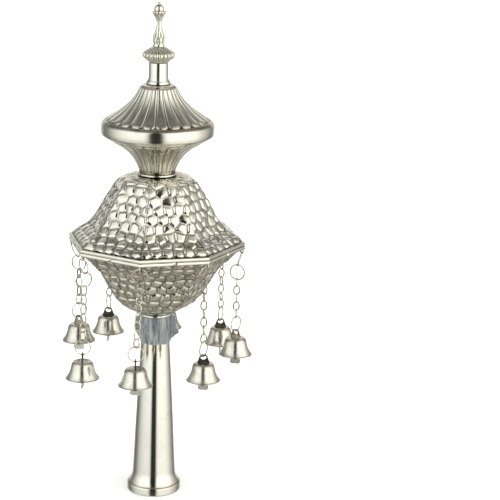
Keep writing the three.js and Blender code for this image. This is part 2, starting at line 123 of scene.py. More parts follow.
def piece(name, vertices, faces, material, node, attributes=None, sharp=40):
    """A visible piece made from millimetres, that rides on the part and stands for a CAD node."""
    mesh = bpy.data.meshes.new(name)
    mesh.from_pydata((np.asarray(vertices, float) * MM).tolist(), [], faces)
    mesh.validate()
    for key, values in (attributes or {}).items():
        layer = mesh.attributes.new(key, "FLOAT", "POINT")
        layer.data.foreach_set("value", np.asarray(values, np.float32))
    mesh.polygons.foreach_set("use_smooth", [True] * len(mesh.polygons))
    mesh.set_sharp_from_angle(angle=math.radians(sharp))
    mesh.update()
    made = bpy.data.objects.new(name, mesh)
    bpy.context.scene.collection.objects.link(made)
    mesh.materials.append(material)
    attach(made, "root")
    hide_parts(node)
    return made


def turned(name, profile, columns, material, node, offset=None, tarnish_and_shade=None, sharp=40):
    """A lathe piece. The profile is a loop of (radius, height) that closes on itself, or starts and ends on the
    axis. offset(angles, rows) gives how far each point stands out along the profile's normal."""
    p = np.asarray(profile, float)
    on_axis = p[0, 0] == 0 and p[-1, 0] == 0
    angles = np.arange(columns) * 2 * math.pi / columns
    normal = outward(p)
    shift = np.zeros((len(p), columns)) if offset is None else offset(angles, p)
    radius = p[:, 0:1] + shift * normal[:, 0:1]
    height = p[:, 1:2] + shift * normal[:, 1:2] + 0 * angles
    wear_and_shade = np.zeros((len(p), columns)) if tarnish_and_shade is None else tarnish_and_shade(angles, p) + 0 * radius
    ring = slice(1, -1) if on_axis else slice(None)
    xs = (radius * np.cos(angles))[ring]
    ys = (radius * np.sin(angles))[ring]
    vertices = np.stack([xs, ys, height[ring]], axis=-1).reshape(-1, 3)
    values = wear_and_shade[ring].reshape(-1)
    rows = len(xs)
    faces = grid_faces(rows, columns, close_rows=not on_axis)
    if on_axis:
        first, last = len(vertices), len(vertices) + 1
        vertices = np.vstack([vertices, [0, 0, p[0, 1]], [0, 0, p[-1, 1]]])
        values = np.concatenate([values, [wear_and_shade[0, 0], wear_and_shade[-1, 0]]])
        top = (rows - 1) * columns
        for c in range(columns):
            d = (c + 1) % columns
            faces.append([d, c, first])
            faces.append([top + c, top + d, last])
    return piece(name, vertices, faces, material, node, {"tarnish_and_shade": values}, sharp)


def tube(path, radius, sides=8):
    """Vertices and faces of a wire bent along a closed path."""
    p = np.asarray(path, float)
    count = len(p)
    tangent = np.roll(p, -1, axis=0) - np.roll(p, 1, axis=0)
    tangent /= np.linalg.norm(tangent, axis=1)[:, None]
    middle = p.mean(axis=0)
    plane = np.linalg.svd(p - middle)[2][2]
    across = np.cross(tangent, plane)
    across /= np.linalg.norm(across, axis=1)[:, None]
    upward = np.cross(across, tangent)
    turn = np.arange(sides) * 2 * math.pi / sides
    ring = across[:, None, :] * np.cos(turn)[None, :, None] + upward[:, None, :] * np.sin(turn)[None, :, None]
    vertices = (p[:, None, :] + radius * ring).reshape(-1, 3)
    return vertices, grid_faces(count, sides, close_rows=True)


def joined(parts):
    """Several (vertices, faces) as one."""
    vertices, faces = [], []
    for some, corners in parts:
        first = sum(len(v) for v in vertices)
        vertices.append(np.asarray(some, float))
        faces += [[first + k for k in face] for face in corners]
    return np.vstack(vertices), faces


# ---------------------------------------------------------------- materials
def new_material(name):
    material = bpy.data.materials.new(name)
    material.use_nodes = True
    nodes = material.node_tree.nodes
    return material, nodes, material.node_tree.links, nodes["Principled BSDF"]


def noise(nodes, links, coordinates, scale, detail=3.0, distortion=0.0):
    node = nodes.new("ShaderNodeTexNoise")
    node.inputs["Scale"].default_value = scale
    node.inputs["Detail"].default_value = detail
    node.inputs["Distortion"].default_value = distortion
    links.new(coordinates, node.inputs["Vector"])
    return node.outputs["Fac"]


def mapped(nodes, links, value, from_low, from_high, to_low, to_high):
    node = nodes.new("ShaderNodeMapRange")
    node.inputs["From Min"].default_value = from_low
    node.inputs["From Max"].default_value = from_high
    node.inputs["To Min"].default_value = to_low
    node.inputs["To Max"].default_value = to_high
    links.new(value, node.inputs["Value"])
    return node.outputs["Result"]


def mixed(nodes, links, factor, first, second):
    node = nodes.new("ShaderNodeMix")
    node.data_type = "RGBA"
    for socket, colour in ((node.inputs[6], first), (node.inputs[7], second)):
        if isinstance(colour, tuple):
            socket.default_value = (*colour, 1)
        else:
            links.new(colour, socket)
    links.new(factor, node.inputs[0])
    return node.outputs[2]


def metal(name, colour, stain, rough_low, rough_high, grain=0.05, blotch=90.0):
    """Plated metal: a brownish stain where the attribute says, which is tarnish in some places and painted shade in
    others, cloudy wear, and a fine satin grain.
    """
    material, nodes, links, shader = new_material(name)
    where = nodes.new("ShaderNodeTexCoord").outputs["Object"]
    tarnish_and_shade = nodes.new("ShaderNodeAttribute")
    tarnish_and_shade.attribute_name = "tarnish_and_shade"
    clouds = noise(nodes, links, where, blotch, 4.0, 0.6)
    specks = noise(nodes, links, where, 900.0, 2.0)
    uneven = nodes.new("ShaderNodeMath")
    uneven.operation = "MULTIPLY_ADD"
    links.new(mapped(nodes, links, clouds, 0.35, 0.7, 0.55, 1.25), uneven.inputs[1])
    links.new(tarnish_and_shade.outputs["Fac"], uneven.inputs[0])
    links.new(mapped(nodes, links, clouds, 0.52, 0.8, 0.0, 0.16), uneven.inputs[2])
    uneven.use_clamp = True
    shade = mixed(nodes, links, mapped(nodes, links, specks, 0.3, 0.7, 0.0, 1.0), colour, tuple(0.93 * c for c in colour))
    links.new(mixed(nodes, links, uneven.outputs[0], shade, stain), shader.inputs["Base Color"])
    shader.inputs["Metallic"].default_value = 1.0
    links.new(mapped(nodes, links, clouds, 0.3, 0.75, rough_low, rough_high), shader.inputs["Roughness"])
    bump = nodes.new("ShaderNodeBump")
    bump.inputs["Strength"].default_value = grain
    bump.inputs["Distance"].default_value = 0.0002
    links.new(noise(nodes, links, where, 2600.0, 2.0), bump.inputs["Height"])
    links.new(bump.outputs["Normal"], shader.inputs["Normal"])
    return material


def clear_film(name):
    material, nodes, links, shader = new_material(name)
    where = nodes.new("ShaderNodeTexCoord").outputs["Object"]
    upright = nodes.new("ShaderNodeMapping")
    upright.inputs["Scale"].default_value = (1.0, 1.0, 0.12)
    links.new(where, upright.inputs["Vector"])
    folds = noise(nodes, links, upright.outputs["Vector"], 420.0, 3.0, 0.6)
    # Painted highlight and shade: the fold noise paints the film's base colour from dark to light in upright streaks,
    # along the same folds that the bump raises.
    links.new(mixed(nodes, links, mapped(nodes, links, folds, 0.35, 0.65, 0, 1), (0.16, 0.19, 0.21), (0.5, 0.55, 0.56)),
              shader.inputs["Base Color"])
    shader.inputs["Roughness"].default_value = 0.12
    shader.inputs["IOR"].default_value = 1.5
    shader.inputs["Alpha"].default_value = 0.55
    bump = nodes.new("ShaderNodeBump")
    bump.inputs["Strength"].default_value = 0.5
    bump.inputs["Distance"].default_value = 0.0006
    links.new(folds, bump.inputs["Height"])
    links.new(bump.outputs["Normal"], shader.inputs["Normal"])
    return material


NICKEL = metal("satin_nickel", (0.83, 0.82, 0.76), (0.36, 0.25, 0.13), 0.07, 0.13)
FLUTED = metal("fluted_nickel", (0.80, 0.78, 0.71), (0.16, 0.12, 0.07), 0.13, 0.22)
HAMMERED = metal("hammered_nickel", (0.82, 0.80, 0.73), (0.09, 0.068, 0.042), 0.08, 0.16)
BELL = metal("bell_nickel", (0.78, 0.76, 0.70), (0.16, 0.12, 0.08), 0.17, 0.28, grain=0.12, blotch=240.0)
WIRE_METAL = metal("wire_metal", (0.80, 0.76, 0.66), (0.14, 0.1, 0.06), 0.15, 0.28, grain=0.1, blotch=300.0)
FILM = clear_film("clear_film")


# ---------------------------------------------------------------- turned pieces
def flutes(angles, count):
    """Distance across a flute, from -1 to 1, with the middle of the first flute at +X."""
    return 2 * ((angles * count / (2 * math.pi) + 0.5) % 1 - 0.5)


def sleeve():
    low, high = cad_box("sleeve")
    foot, top = high[0], high[2]
    outer = np.vstack([
        smooth([(foot - 0.6, 0), (foot - 0.15, 0.15), (foot, 0.7)], 3),
        smooth([(foot, 4.6), (foot - 0.05, 5.2), (foot - 0.4, 5.9), (20.0, 6.15)], 3),
        smooth([(19.6, 6.5), (18.4, 8.2), (17.4, 10.2), (16.75, 12.6), (16.45, 15.5), (16.3, 18.5), (15.9, 27)], 4),
        resample([(15.6, 33), (14.65, 55), (12.9, 88.5), (11.08, 120), (10.3, top)], 3.0),
    ])
    inner = np.array([(9.4, top), (13.75, 55), (15.3, 17), (17.6, 6), (17.6, 0)])
    drips = [(-111, 9.5, 2.4), (-86, 4.5, 2.2), (-59, 8.0, 2.2), (25, 7, 3), (95, 5, 2), (160, 8, 3)]

    def stain(angles, p):
        z = p[:, 1:2]
        worn = 0.5 * smoothstep(7.5, 6.1, z) * smoothstep(5.0, 5.9, z)
        outside = (np.arange(len(p)) < len(outer))[:, None]
        for direction, length, width in drips:
            apart = np.abs((np.degrees(angles) - direction + 180) % 360 - 180) * math.pi / 180 * p[:, 0:1]
            worn = worn + 0.85 * smoothstep(width / 2, width / 5, apart) * smoothstep(121 - length * 1.6, 121 - length, z)
        return np.clip(worn, 0, 1) * outside

    turned("sleeve_tube", np.vstack([outer, inner]), 160, NICKEL, "sleeve", tarnish_and_shade=stain)


def bead_ring(name, node, bore, radius, low, high):
    """A flat ring with a rounded edge."""
    half = (high - low) / 2
    middle = (high + low) / 2
    turns = np.linspace(-math.pi / 2, math.pi / 2, 9)
    edge = [(radius - half * (1 - math.cos(t)), middle + half * math.sin(t)) for t in turns]
    profile = [(bore, low), *edge, (bore, high)]
    turned(name, profile, 96, NICKEL, node,
           tarnish_and_shade=lambda angles, p: 0.5 * smoothstep(0.7 * half, half, np.abs(p[:, 1:2] - middle)))


def canopy_flutes(profile, start, end, depth, start_round, end_round):
    """How far fluted metal lies back from its crests, and its stain, between two distances along a profile."""
    s = along(profile)

    def lobe(angles, p):
        x = flutes(angles, CANOPY_FLUTES)[None, :]
        at = s[:, None]
        y = np.maximum(0, (at - (end - end_round)) / end_round) + np.maximum(0, (start + start_round - at) / start_round)
        inside = np.clip(1 - np.abs(x) ** 3 - y**2, 0, 1) ** 0.6
        active = (at > start - 0.6) & (at < end + 0.6)
        return inside, active

    def offset(angles, p):
        inside, active = lobe(angles, p)
        fade = smoothstep(start - 0.6, start + 0.4, s)[:, None] * smoothstep(end + 0.9, end - 0.1, s)[:, None]
        grow = np.interp(s, [start, (start + end) / 2, end], [0.55, 0.9, 1.0])[:, None]
        return np.where(active, -depth * grow * fade * (1 - inside), 0)

    def stain(angles, p):
        inside, active = lobe(angles, p)
        return np.where(active, 0.85 * smoothstep(0.55, 0.0, inside), 0)

    return offset, stain


def canopy_roof():
    low, high = cad_box("canopy_roof")
    band, top, bottom = high[0], high[2], low[2]
    crest = resample(np.vstack([
        smooth([(9, top), (11.0, top - 0.15), (12.6, top - 0.9), (13.7, 318.3), (14.5, 316.9), (15.9, 314.1),
                (17.9, 311), (20.6, 307.7), (23.9, 304.5), (28.1, 301.1), (33.4, 297.5), (38.0, 294.6),
                (39.6, 293.5)], 8),
        smooth([(40.6, 292.6), (41.6, 291.6), (42.1, 290.7), (band, 289.6)], 4),
    ]), 0.45)
    wall = np.array([(band, 286), (band, 284.2), (band - 0.25, 283.3), (41.6, bottom)])
    inner = np.array([(40.6, bottom), (40.6, 289), (36, 294), (25.6, 301), (16.8, 309.6), (12.2, 316.8), (0, 318)])
    down = np.vstack([[(0, top)], crest, wall, inner])
    s = along(down)
    start = s[np.argmin(np.hypot(down[:, 0] - 13.2, down[:, 1] - 318.8))]
    end = s[np.argmin(np.hypot(down[:, 0] - 38.9, down[:, 1] - 294.0))]
    profile = down[::-1]
    offset, stain = canopy_flutes(down, start, end, 1.15, 2.0, 4.6)
    ledge = smoothstep(37.5, 39.5, down[:, 0]) * smoothstep(42.2, 41.0, down[:, 0]) * (down[:, 1] > 290)
    shoulder = smoothstep(8.9, 9.6, down[:, 0]) * smoothstep(11.5, 10, down[:, 0]) * (down[:, 1] > 319)

    def flip(values):
        return values[::-1]

    turned("canopy_roof_shell", profile, 24 * 16, FLUTED, "canopy_roof",
           offset=lambda a, p: flip(offset(a, down)),
           tarnish_and_shade=lambda a, p: flip(np.maximum(stain(a, down), (0.6 * ledge + 0.6 * shoulder)[:, None])), sharp=60)


def canopy_flare():
    low, high = cad_box("canopy_flare")
    bottom, top = low[2], high[2]
    crest = resample(smooth([(13.7, bottom), (13.9, 255.6), (14.3, 257.1), (15.6, 260.2), (17.4, 263.5), (19.8, 266.7),
                             (23.1, 270.2), (27.4, 273.7), (33.8, 277.6), (38.7, 280.7), (40.4, top)], 6), 0.45)
    inner = np.array([(39, top), (29, 277), (19.2, 269.6), (13.4, 261.4), (12.2, 256.5), (12, bottom)])
    profile = np.vstack([crest, inner])
    s = along(profile)
    end = s[np.argmin(np.abs(crest[:, 0] - 36.6))]
    offset, stain = canopy_flutes(profile, 1.0, end, 0.75, 2.0, 4.0)
    outer = (np.arange(len(profile)) < len(crest))[:, None]
    # Darker towards the flare's foot.
    base = smoothstep(257.5, 254.5, profile[:, 1])[:, None] * 0.7
    turned("canopy_flare_shell", profile, 24 * 16, FLUTED, "canopy_flare",
           offset=lambda a, p: offset(a, p) * outer,
           # The 0.1 over the whole outside is a faint brownish cast: partly tarnish, partly painted warm reflection of
           # the floor.
           tarnish_and_shade=lambda a, p: np.clip(0.8 * stain(a, p) + base + 0.1, 0, 1) * outer, sharp=60)


def neck():
    low, high = cad_box("neck")
    bottom, top = low[2], high[2]
    profile = np.vstack([
        [(6, bottom)],
        smooth([(9.0, bottom), (9.15, bottom + 0.5), (9.0, bottom + 1.3), (8.5, bottom + 2.2)], 4),
        smooth([(8.2, bottom + 2.5), (7.6, bottom + 3.5), (7.32, bottom + 4.8), (7.25, bottom + 6.5)], 4),
        [(7.25, top - 5), (7.25, top), (6, top)],
    ])
    turned("neck_tube", profile, 96, NICKEL, "neck",
           tarnish_and_shade=lambda a, p: 0.8 * smoothstep(bottom + 0.6, bottom, p[:, 1:2]))


def knop():
    low, high = cad_box("knop")
    bottom, top = low[2], high[2]
    crest = resample(smooth([(7.25, bottom), (7.9, 337.3), (8.9, 338.3), (10.9, 339.8), (12.1, 341.4), (12.15, 342.6),
                             (11.3, 344.0), (9.3, 345.4), (6.9, 346.9), (4.8, top)], 8), 0.3)
    profile = np.vstack([[(0, bottom)], crest, [(0, top)]])

    def lobe(angles):
        return np.clip(1 - flutes(angles, KNOP_LOBES) ** 2, 0, 1)[None, :] ** 0.55

    def deep(p):
        return np.interp(p[:, 1], [bottom, 338, 340, 343, 345.5, 347.5, top], [0.1, 0.7, 1.2, 1.1, 0.6, 0.2, 0])[:, None]

    turned("knop_bead", profile, 20 * 16, FLUTED, "knop",
           offset=lambda a, p: -deep(p) * (1 - lobe(a)),
           tarnish_and_shade=lambda a, p: 0.9 * smoothstep(0.6, 0.1, lobe(a)) * np.minimum(1, deep(p)), sharp=60)


def spire():
    low, high = cad_box("spire")
    bottom, tip = low[2], high[2]
    crest = np.vstack([
        smooth([(4.5, bottom), (3.95, 350), (4.25, 351.6), (4.45, 352.8), (4.1, 354.2)], 5),
        smooth([(4.3, 354.8), (4.6, 355.9), (4.0, 357.3), (3.35, 358.8), (2.8, 360.3), (2.1, 362.4), (1.9, 364.5),
                (1.95, 366.6), (2.2, 367.8), (2.9, 369.1), (3.7, 370.7), (4.6, 372.1), (5.2, 373.3), (5.0, 374.0)], 5),
        smooth([(3.6, 374.5), (3.75, 375.6), (3.5, 376.9), (2.8, 378.0), (1.7, 378.9), (0.95, 379.2)], 5),
        smooth([(1.3, 379.5), (1.45, 380.0), (1.2, 380.6), (0.5, tip - 0.05)], 4),
    ])
    crest = resample(crest, 0.25)
    profile = np.vstack([[(0, bottom)], crest, [(0, tip)]])
    z = profile[:, 1]
    leafy = (smoothstep(349.5, 351.5, z) * smoothstep(354.6, 353.4, z) + smoothstep(354.6, 355.6, z) * smoothstep(361, 357, z)
             + smoothstep(368.2, 371.5, z) * smoothstep(374.2, 373.6, z))

    def lobe(angles):
        phase = flutes(angles, 6)[None, :] + 0 * z[:, None]
        upper = flutes(angles + math.pi / 6, 6)[None, :] + 0 * z[:, None]
        return np.clip(1 - np.where(z[:, None] > 354.6, upper, phase) ** 2, 0, 1) ** 0.6

    turned("spire_rod", profile, 96, FLUTED, "spire",
           offset=lambda a, p: -0.75 * leafy[:, None] * (1 - lobe(a)),
           tarnish_and_shade=lambda a, p: 0.8 * leafy[:, None] * smoothstep(0.6, 0.1, lobe(a))
           + 0.6 * smoothstep(0.5, 0.1, np.abs(z[:, None] - 374.4)), sharp=60)


# ---------------------------------------------------------------- hammered dome and bowl
def hammer_marks(across, distance, half_width, radius, sites):
    """Raised cells on one side of the octagon. Gives the distance from the nearest groove, the cell each point falls
    in, the point's offset from that cell's centre, and its distance from the side's edge.
    """
    points = np.column_stack([across, distance])
    gap = ((points[:, None, :] - sites[None, :, :]) ** 2).sum(axis=2)
    own = gap.argmin(axis=1)
    nearest = gap[np.arange(len(points)), own]
    spread = np.linalg.norm(sites[own][:, None, :] - sites[None, :, :], axis=2)
    to_wall = np.where(spread > 1e-6, (gap - nearest[:, None]) / (2 * np.maximum(spread, 1e-6)), 1e9).min(axis=1)
    to_seam = half_width - np.abs(across)
    return np.minimum(to_wall, to_seam + 0.15), own, points - sites[own], to_seam


def hammered(name, node, outer, inner, round_radius, raise_cells, painted_shade):
    """An eight-sided shell covered with raised cells. outer runs along the corners from the rim inwards."""
    pitch, row_pitch, columns = 8.4, 7.5, 70
    upright = math.copysign(1, outer[-1][1] - outer[0][1])
    p = resample(smooth(outer[:-1], 8), 0.66)
    s = along(p)
    normal = np.gradient(p, axis=0)
    normal = np.column_stack([normal[:, 1], -normal[:, 0]]) * upright
    normal /= np.linalg.norm(normal, axis=1)[:, None]
    u = np.linspace(-1, 1, columns, endpoint=False)
    row_count = int(round(s[-1] / row_pitch))
    radius = p[:, 0]
    xs, ys, zs, wear_and_shade = [], [], [], []
    for side in range(SIDES):
        sites, leans = [], []
        for row in range(-1, row_count + 1):
            at = (row + 0.5) * s[-1] / row_count
            width = 2 * np.interp(at, s, radius) * math.sin(HALF_SIDE)
            count = max(1, int(round(width / pitch)))
            first = 0.5 if row % 2 == 0 else 0.0
            for k in range(count + (0 if row % 2 == 0 else 1)):
                x = ((k + first) / count - 0.5) * width
                sites.append((x + rng.normal(0, 0.75), at + rng.normal(0, 0.75)))
                leans.append(rng.normal(0, 0.075, 2))
        sites, leans = np.array(sites), np.array(leans)
        half_width = radius * math.sin(HALF_SIDE)
        across = (u[None, :] * half_width[:, None])
        distance = s[:, None] + 0 * across
        edge, own, local, seam = hammer_marks(across.ravel(), distance.ravel(), np.repeat(half_width, columns), radius, sites)
        pillow = smoothstep(-0.1, 1.9, edge)
        lean = (local * leans[own]).sum(axis=1)
        crown = 0.3 * np.clip(1 - (local**2).sum(axis=1) / 18, 0, 1)
        height = raise_cells * pillow * (0.86 + lean + crown) + 0.32 * np.exp(-((seam / 0.4) ** 2))
        height = height.reshape(across.shape)
        calm = np.interp(radius, [14, 20, 27], [0.15, 0.5, 1.0])[:, None]
        height *= calm
        angle = (side + 0.5) * 2 * HALF_SIDE + np.arctan(u * math.tan(HALF_SIDE))
        flat = np.hypot(across, (radius * math.cos(HALF_SIDE))[:, None])
        rounding = np.clip((round_radius - radius) / (round_radius / 2), 0, 1)[:, None]
        reach = flat * (1 - rounding) + radius[:, None] * rounding + height * normal[:, 0:1]
        xs.append(reach * np.cos(angle))
        ys.append(reach * np.sin(angle))
        zs.append(p[:, 1:2] + height * normal[:, 1:2])
        groove = 0.85 * smoothstep(0.55, 0.05, edge).reshape(across.shape)
        # The groove patina plus the painted shade that the caller paints by radius and height.
        wear_and_shade.append(np.clip(groove + painted_shade(radius, p[:, 1])[:, None], 0, 1))
    xs, ys, zs, wear_and_shade = (np.concatenate(part, axis=1) for part in (xs, ys, zs, wear_and_shade))
    around = np.arctan2(ys[0], xs[0])
    side_angle = (around % (2 * HALF_SIDE)) - HALF_SIDE
    octagon = math.cos(HALF_SIDE) / np.cos(side_angle)
    back = np.array(inner)
    end = np.array([outer[-1]])
    plain = np.vstack([end, back])
    shape = np.where((np.arange(len(plain)) == 0)[:, None], 1.0, octagon[None, :])
    rx = plain[:, 0:1] * shape * np.cos(around)
    ry = plain[:, 0:1] * shape * np.sin(around)
    rz = plain[:, 1:2] + 0 * rx
    gx, gy, gz = np.vstack([xs, rx]), np.vstack([ys, ry]), np.vstack([zs, rz])
    vertices = np.stack([gx, gy, gz], axis=-1).reshape(-1, 3)
    values = np.vstack([wear_and_shade, np.full(rx.shape, 0.3)]).reshape(-1)
    faces = grid_faces(len(gx), gx.shape[1], close_rows=True)
    if upright < 0:
        faces = [face[::-1] for face in faces]
    return piece(name, vertices, faces, HAMMERED, node, {"tarnish_and_shade": values}, sharp=70)


def dome():
    low, high = cad_box("dome")
    bottom, top = low[2], high[2]
    hammered(
        "dome_shell", "dome",
        [(65.4, bottom), (61.6, 206.7), (57, 209.5), (52.2, 213), (48.4, 217.3), (45.3, 222), (42.4, 227.6),
         (39.8, 232), (36.8, 237), (33.8, 241.8), (31.2, 245.5), (28.4, 248), (25.4, 249.5), (20.5, 250.8),
         (15.2, 251.7), (14.4, top)],
        [(9, top), (9, top - 1.2), (13, top - 1.2), (29, 244.6), (40.9, 227.2), (47, 216), (63.4, bottom)],
        # Painted shade: darker near the top of the dome, under the canopy flare.
        34, 0.8, lambda r, z: 0.45 * smoothstep(26, 17, r),
    )


def bowl():
    low, high = cad_box("bowl")
    bottom, top = low[2], high[2]
    hammered(
        "bowl_shell", "bowl",
        [(63.2, top), (56.8, 190.4), (49.6, 183.4), (46.4, 179.3), (43.3, 174.2), (40.3, 169.1), (37.1, 163.6),
         (33.6, 158.7), (28.4, 153.7), (20.4, 148.4), (14.2, 145.4), (12.4, bottom)],
        [(9, bottom), (9, bottom + 1.2), (12, bottom + 1.2), (27, 154.8), (38.7, 169.8), (48, 184), (61, top)],
        # Painted shade: a little over the whole down-facing bowl, and more near its top under the rim band.
        24, 0.85, lambda r, z: 0.1 + 0.2 * smoothstep(187, 196, z),
    )


# ---------------------------------------------------------------- rim band
def rim_band():
    low, high = cad_box("rim_band")
    corner, top = high[0], high[2]
    bottom = top - 5.8
    beads = np.vstack([
        smooth([(66.0, bottom), (67.2, bottom + 0.1), (67.85, bottom + 0.8), (corner, bottom + 1.6),
                (67.85, bottom + 2.3), (67.4, bottom + 2.8)], 4),
        smooth([(67.0, bottom + 3.05), (67.4, bottom + 3.25), (67.75, bottom + 3.8), (67.85, bottom + 4.5),
                (67.65, bottom + 5.2), (67.1, bottom + 5.65), (66.3, top)], 4),
    ])
    loop = np.vstack([[(61, bottom)], beads, [(61, top)]])
    columns = 64
    u = np.linspace(-1, 1, columns, endpoint=False)
    across = u * corner * math.sin(HALF_SIDE)
    normal = outward(loop)
    lower_bead = (smoothstep(bottom + 3.1, bottom + 2.6, loop[:, 1]) * (loop[:, 0] > 62))[:, None]
    slant = np.abs(across[None, :] - 0.55 * (loop[:, 1:2] - bottom - 1.4))
    nick = 0.75 * smoothstep(1.3, 0.0, slant) * lower_bead
    parts_x, parts_y = [], []
    radius = loop[:, 0:1] - nick * normal[:, 0:1]
    height = loop[:, 1:2] - nick * normal[:, 1:2]
    for side in range(SIDES):
        angle = (side + 0.5) * 2 * HALF_SIDE + np.arctan(u * math.tan(HALF_SIDE))
        reach = radius * np.hypot(u * math.sin(HALF_SIDE), math.cos(HALF_SIDE))[None, :]
        parts_x.append(reach * np.cos(angle))
        parts_y.append(reach * np.sin(angle))
    xs, ys = np.concatenate(parts_x, axis=1), np.concatenate(parts_y, axis=1)
    zs = np.tile(height, SIDES)
    band = np.stack([xs, ys, zs], axis=-1).reshape(-1, 3)
    groove = 0.8 * smoothstep(0.5, 0.15, np.abs(loop[:, 1] - bottom - 3.05))
    joints = 0.45 * smoothstep(1.2, 0.2, np.minimum(loop[:, 1] - bottom, top - loop[:, 1])) * (loop[:, 0] > 62)
    wear_and_shade = np.maximum(groove, joints)[:, None] + 0.5 * np.tile(nick, SIDES)
    solids = [(band, grid_faces(len(loop), xs.shape[1], close_rows=True))]
    stains = [np.clip(wear_and_shade, 0, 1).reshape(-1)]
    for side in range(SIDES):
        a = math.radians(side * CORNER_STEP)
        turn = np.linspace(0, 2 * math.pi, 20, endpoint=False)
        out = EYE_RADIUS + 1.35 * np.sin(turn)
        path = np.column_stack([out * math.cos(a), out * math.sin(a), bottom - 1.05 - 1.75 * np.cos(turn)])
        eye = tube(path, 0.5, 8)
        solids.append(eye)
        stains.append(np.full(len(eye[0]), 0.3))
    vertices, faces = joined(solids)
    piece("rim_moulding", vertices, faces, NICKEL, "rim_band", {"tarnish_and_shade": np.concatenate(stains)}, sharp=35)


# ---------------------------------------------------------------- chains and bells
RING_TURNS = [60, 80, 30, -62, 40, 10, 10, 70]
STRAP_TURNS = [-30, 10, 110, 10, -30, 100, 100, 10]
CLAPPER_TURNS = [0, 90, 0, 90, 0, 90, 0, 0]
LINKS = [5, 6, 5, 5, 4, 6, 6, 6]


def hung_ring(top, bottom, half_width, turn, count=28, square=1.0):
    """The closed path of a ring that hangs between two points, in the plane of a horizontal direction."""
    t = np.linspace(0, 2 * math.pi, count, endpoint=False)
    middle, half = (top + bottom) / 2, (top - bottom) / 2
    across = half_width * np.sign(np.sin(t)) * np.abs(np.sin(t)) ** square
    side = np.array([math.cos(math.radians(turn)), math.sin(math.radians(turn)), 0])
    return middle + np.cos(t)[:, None] * half + across[:, None] * side


def hanging_set(index):
    number = index + 1
    direction = index * CORNER_STEP
    a = math.radians(direction)
    bell_low, bell_high = cad_box(f"bell_{number}")
    clapper_low, clapper_high = cad_box(f"clapper_{number}")
    middle = (clapper_low + clapper_high) / 2
    lip = bell_low[2]
    crown = lip + BELL_HEIGHT
    chain_low, chain_high = cad_box(f"chain_{number}")
    top = np.array([EYE_RADIUS * math.cos(a), EYE_RADIUS * math.sin(a), chain_high[2] - WIRE])
    end = np.array([middle[0], middle[1], chain_low[2] + WIRE])
    outward_now = np.array([math.cos(a), math.sin(a)])
    reach = end[:2] @ outward_now
    drift = end[:2] - reach * outward_now
    length = top[2] - end[2]
    ring_pitch = 2 * RING_RADIUS - WIRE

    def line(down):
        lean = min(1.0, down / ring_pitch)
        x, y = (EYE_RADIUS + (reach - EYE_RADIUS) * lean) * outward_now + drift * down / length
        return np.array([x, y, top[2] - down])

    rings = []
    at = 0.0
    for turn, tilt in ((direction + 90, 0), (direction + 165, 0)):
        rings.append(hung_ring(line(at), line(at + 2 * RING_RADIUS), RING_RADIUS, turn))
        at += 2 * RING_RADIUS - 2 * WIRE
    lower_top = length - 2 * RING_RADIUS
    count = LINKS[index]
    span = lower_top - at + 2 * WIRE
    pitch = span / count
    links = []
    for k in range(count):
        start = at + k * pitch - 0.15
        stop = start + pitch + 2 * WIRE - (2 * WIRE - 0.3)
        turn = RING_TURNS[index] + (38 if k % 2 == 0 else -38) + 8 * math.sin(3 * k + index)
        links.append(hung_ring(line(start), line(stop), LINK_HALF_WIDTH, turn, 22, 0.8))
    rings.append(hung_ring(line(lower_top), line(length), RING_RADIUS, RING_TURNS[index]))
    parts = [tube(path, WIRE, 8) for path in rings] + [tube(path, LINK_WIRE, 8) for path in links]
    vertices, faces = joined(parts)
    wear_and_shade = 0.25 + 0.25 * np.sin(vertices[:, 2] * 1.7 + index)
    piece(f"chain_{number}_wire", vertices, faces, WIRE_METAL, f"chain_{number}", {"tarnish_and_shade": np.clip(wear_and_shade, 0, 1)})
    bell(number, middle[0], middle[1], lip, crown, STRAP_TURNS[index])
    clapper(number, clapper_low, clapper_high, middle, lip, crown, CLAPPER_TURNS[index])


def plate_with_hole(outline, centre, hole_radius, thickness, turn, x, y, z, segments=48):
    """A flat plate with a round hole, standing in the plane of a horizontal direction."""
    poly = np.array(outline, float)
    angles = np.linspace(0, 2 * math.pi, segments, endpoint=False)
    rim = []
    for t in angles:
        ray = np.array([math.cos(t), math.sin(t)])
        best = 1e9
        for p, q in zip(poly, np.roll(poly, -1, axis=0)):
            edge = q - p
            cross = ray[0] * edge[1] - ray[1] * edge[0]
            if abs(cross) < 1e-9:
                continue
            gap = p - centre
            reach = (gap[0] * edge[1] - gap[1] * edge[0]) / cross
            share = (gap[0] * ray[1] - gap[1] * ray[0]) / cross
            if reach > 0 and -1e-9 <= share <= 1 + 1e-9:
                best = min(best, reach)
        rim.append(np.array(centre) + best * ray)
    hole = [centre + np.array([hole_radius[0] * math.cos(t), hole_radius[1] * math.sin(t)]) for t in angles]
    loops = []
    for points, side in ((hole, -1), (rim, -1), (rim, 1), (hole, 1)):
        loops += [(q[0], side * thickness / 2, q[1]) for q in points]
    local = np.array(loops)
    c, s = math.cos(math.radians(turn)), math.sin(math.radians(turn))
    placed = np.column_stack([x + local[:, 0] * c - local[:, 1] * s, y + local[:, 0] * s + local[:, 1] * c, z + local[:, 2]])
    return placed, grid_faces(4, segments, close_rows=True)


